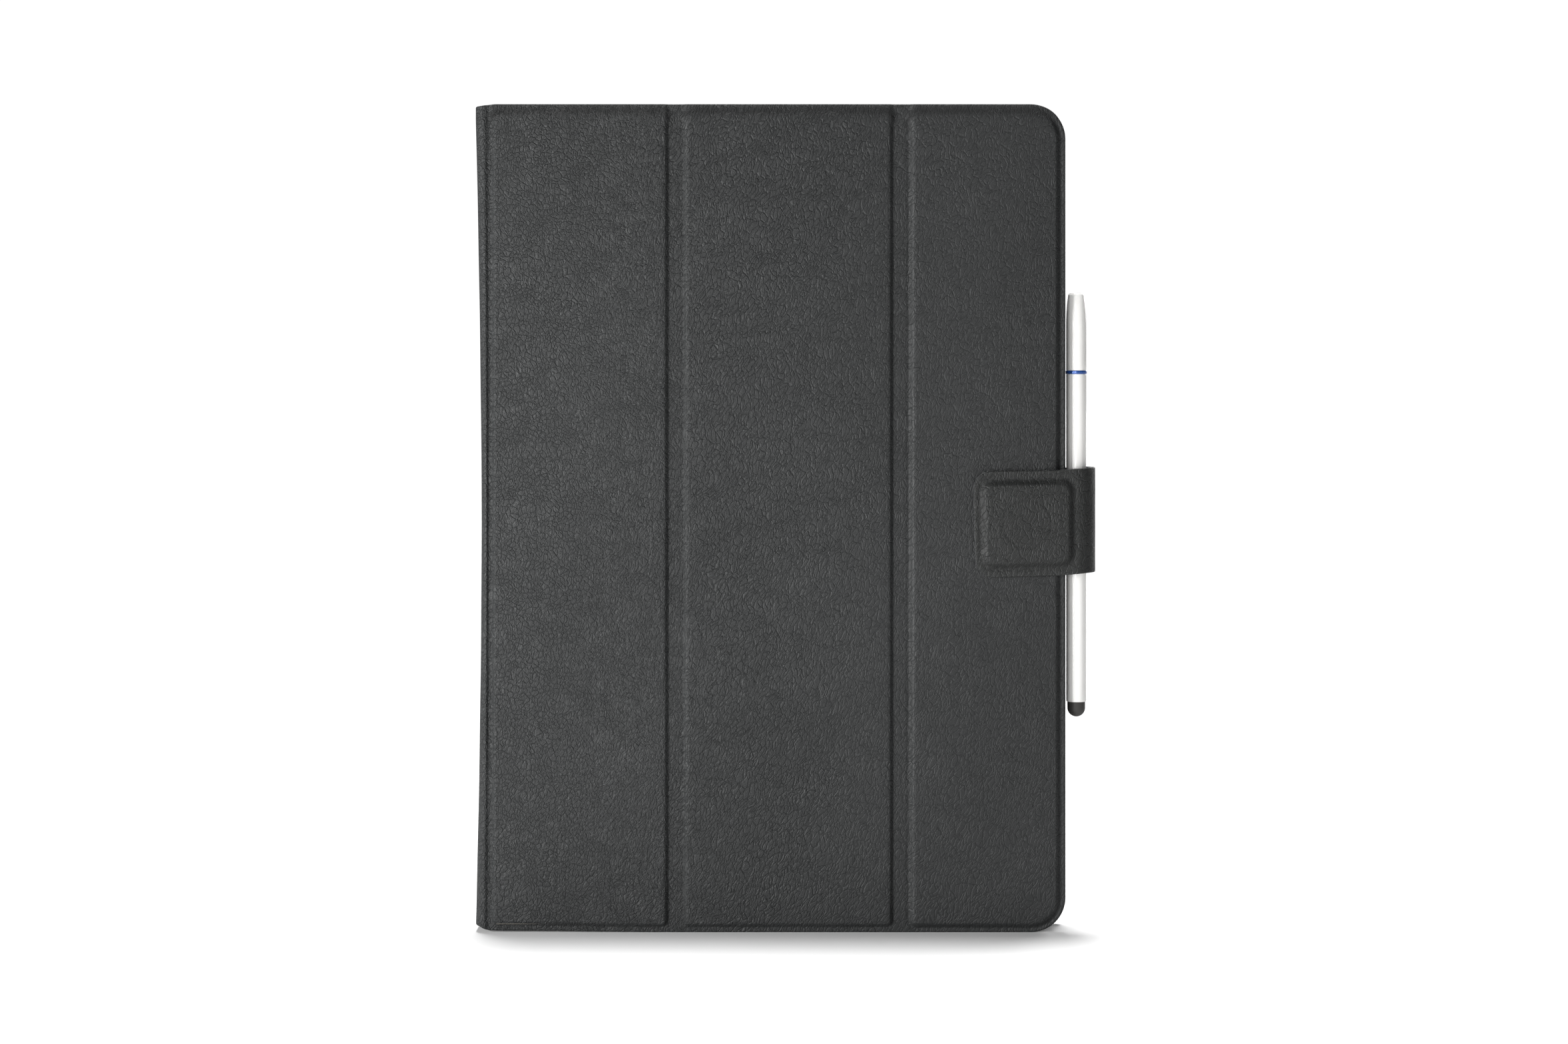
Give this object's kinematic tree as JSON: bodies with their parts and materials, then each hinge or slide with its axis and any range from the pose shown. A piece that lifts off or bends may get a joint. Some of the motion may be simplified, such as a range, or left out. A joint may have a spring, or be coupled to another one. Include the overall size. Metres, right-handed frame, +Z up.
{
  "type": "folding tablet case",
  "caption": "Folding tablet case with a panelled cover that makes a stand, a moulded tray, a magnetic closure strap and a stylus in its loop.",
  "frame": {"origin": "middle of the closed case's footprint, on the surface it stands on", "axes": "+Z up along the case's long side, -Y towards the front cover, +X from the spine towards the closure strap"},
  "size_m": [0.1972, 0.0178, 0.264],
  "materials": {
    "leather_shell": "grained dark grey synthetic leather, soft satin sheen",
    "leather_strap": "smoother dark grey synthetic leather",
    "microfibre": "short-nap dark grey microfibre",
    "greyboard": "stiff laminated board",
    "tray_shell": "matte dark moulded plastic with fine texture",
    "trim_plastic": "smooth dark plastic",
    "elastic": "ribbed black elastic",
    "steel": "plain rolled steel",
    "magnet_nickel": "nickel plated",
    "white_barrel": "glossy white",
    "blue_band": "smooth blue",
    "tip_rubber": "soft matte black rubber",
    "ferrule_metal": "turned"
  },
  "bodies": {
    "back_cover": {"back_skin": "leather_shell", "back_board": "greyboard", "back_lining": "microfibre", "tablet_tray": "tray_shell", "camera_ring": "trim_plastic", "strap_root": "leather_strap"},
    "spine": {"spine_skin": "leather_shell", "spine_board": "greyboard", "spine_lining": "microfibre"},
    "panel_1": {"panel_1_skin": "leather_shell", "panel_1_board": "greyboard", "panel_1_lining": "microfibre", "stand_strip": "steel"},
    "panel_2": {"panel_2_skin": "leather_shell", "panel_2_board": "greyboard", "panel_2_lining": "microfibre"},
    "panel_3": {"panel_3_skin": "leather_shell", "panel_3_board": "greyboard", "panel_3_lining": "microfibre", "closure_plate": "steel", "stand_magnets": "magnet_nickel", "wake_magnet": "magnet_nickel"},
    "strap_side": {"strap_side_skin": "leather_strap", "strap_side_lining": "microfibre", "pen_loop": "elastic"},
    "strap_flap": {"flap_skin": "leather_strap", "flap_board": "greyboard", "flap_magnet": "magnet_nickel", "flap_lining": "microfibre"},
    "stylus": {"stylus_barrel": "white_barrel", "stylus_cap": "white_barrel", "stylus_ring": "blue_band", "stylus_tip": "tip_rubber", "stylus_ferrule": "ferrule_metal"}
  },
  "joints": [
    {"name": "cover_bend_back", "type": "hinge", "parent": "back_cover", "child": "spine", "pos_m": [-0.095, 0.0091, 0.132], "axis": [0, 0, -1], "range_deg": [0, 179]},
    {"name": "cover_bend_front", "type": "hinge", "parent": "spine", "child": "panel_1", "pos_m": [-0.095, -0.0064, 0.132], "axis": [0, 0, -1], "range_deg": [0, 179]},
    {"name": "fold_1", "type": "hinge", "parent": "panel_1", "child": "panel_2", "pos_m": [-0.03505, -0.0036, 0.132], "axis": [0, 0, 1], "range_deg": [0, 134]},
    {"name": "fold_2", "type": "hinge", "parent": "panel_2", "child": "panel_3", "pos_m": [0.0369, -0.0036, 0.132], "axis": [0, 0, 1], "range_deg": [0, 125]},
    {"name": "strap_root_bend", "type": "hinge", "parent": "back_cover", "child": "strap_side", "pos_m": [0.091, 0.0082, 0.13], "axis": [0, 0, 1], "range_deg": [0, 60]},
    {"name": "strap_flap_bend", "type": "hinge", "parent": "strap_side", "child": "strap_flap", "pos_m": [0.0922, -0.0079, 0.13], "axis": [0, 0, 1], "range_deg": [0, 120]},
    {"name": "stylus_slide", "type": "slide", "parent": "strap_side", "child": "stylus", "axis": [0, 0, 1], "range_m": [0, 0.125]}
  ],
  "couplings": [
    {"joint": "fold_1", "follows": "cover_bend_front", "ratio": 0.7485},
    {"joint": "fold_2", "follows": "cover_bend_front", "ratio": 0.6982},
    {"joint": "strap_root_bend", "follows": "strap_flap_bend", "ratio": 0.5}
  ]
}
